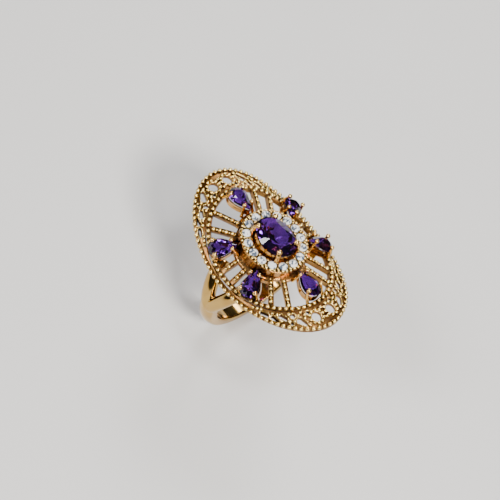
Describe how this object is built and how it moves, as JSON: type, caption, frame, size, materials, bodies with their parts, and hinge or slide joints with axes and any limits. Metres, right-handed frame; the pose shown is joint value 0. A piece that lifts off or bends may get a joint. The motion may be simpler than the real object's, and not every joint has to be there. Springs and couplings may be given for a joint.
{
  "type": "cocktail ring",
  "caption": "Oval domed cocktail ring: pierced beaded plate with a raised oval centre stone, round-stone halo and pear stones, on a split-shoulder shank.",
  "frame": {"origin": "centre of the finger hole, midway along it", "axes": "Y along the finger, which is also the long axis of the oval plate; +Z from the finger hole to the top of the head; X across the finger"},
  "size_m": [0.0232, 0.0338, 0.0267],
  "materials": {
    "shank_gold": "polished",
    "plate_gold": "polished, slightly rosy in the recesses",
    "bead_gold": "bright polished",
    "prong_gold": "bright polished",
    "violet_stone": "faceted, polished",
    "clear_stone": "faceted, polished"
  },
  "bodies": {
    "root": {"shank_band": "shank_gold", "arm_left_front": "shank_gold", "arm_left_back": "shank_gold", "arm_right_front": "shank_gold", "arm_right_back": "shank_gold", "plate_rim": "plate_gold", "rim_beads": "bead_gold", "inner_ring": "plate_gold", "inner_ring_beads": "bead_gold", "lattice_front": "plate_gold", "lattice_back": "plate_gold", "lattice_beads_front": "bead_gold", "lattice_beads_back": "bead_gold", "centre_deck": "plate_gold", "spoke_pair_1": "plate_gold", "spoke_pair_2": "plate_gold", "spoke_pair_3": "plate_gold", "spoke_pair_4": "plate_gold", "spoke_pair_5": "plate_gold", "spoke_pair_6": "plate_gold", "spoke_beads": "bead_gold", "halo_mount": "plate_gold", "halo_edge_beads": "bead_gold", "halo_grip_beads": "bead_gold", "halo_stones": "clear_stone", "centre_collar": "plate_gold", "centre_prongs": "prong_gold", "centre_stone": "violet_stone", "pear_collar_1": "plate_gold", "pear_collar_2": "plate_gold", "pear_collar_3": "plate_gold", "pear_collar_4": "plate_gold", "pear_collar_5": "plate_gold", "pear_collar_6": "plate_gold", "pear_prongs_1": "prong_gold", "pear_prongs_2": "prong_gold", "pear_prongs_3": "prong_gold", "pear_prongs_4": "prong_gold", "pear_prongs_5": "prong_gold", "pear_prongs_6": "prong_gold", "pear_stone_1": "violet_stone", "pear_stone_2": "violet_stone", "pear_stone_3": "violet_stone", "pear_stone_4": "violet_stone", "pear_stone_5": "violet_stone", "pear_stone_6": "violet_stone"}
  },
  "joints": []
}
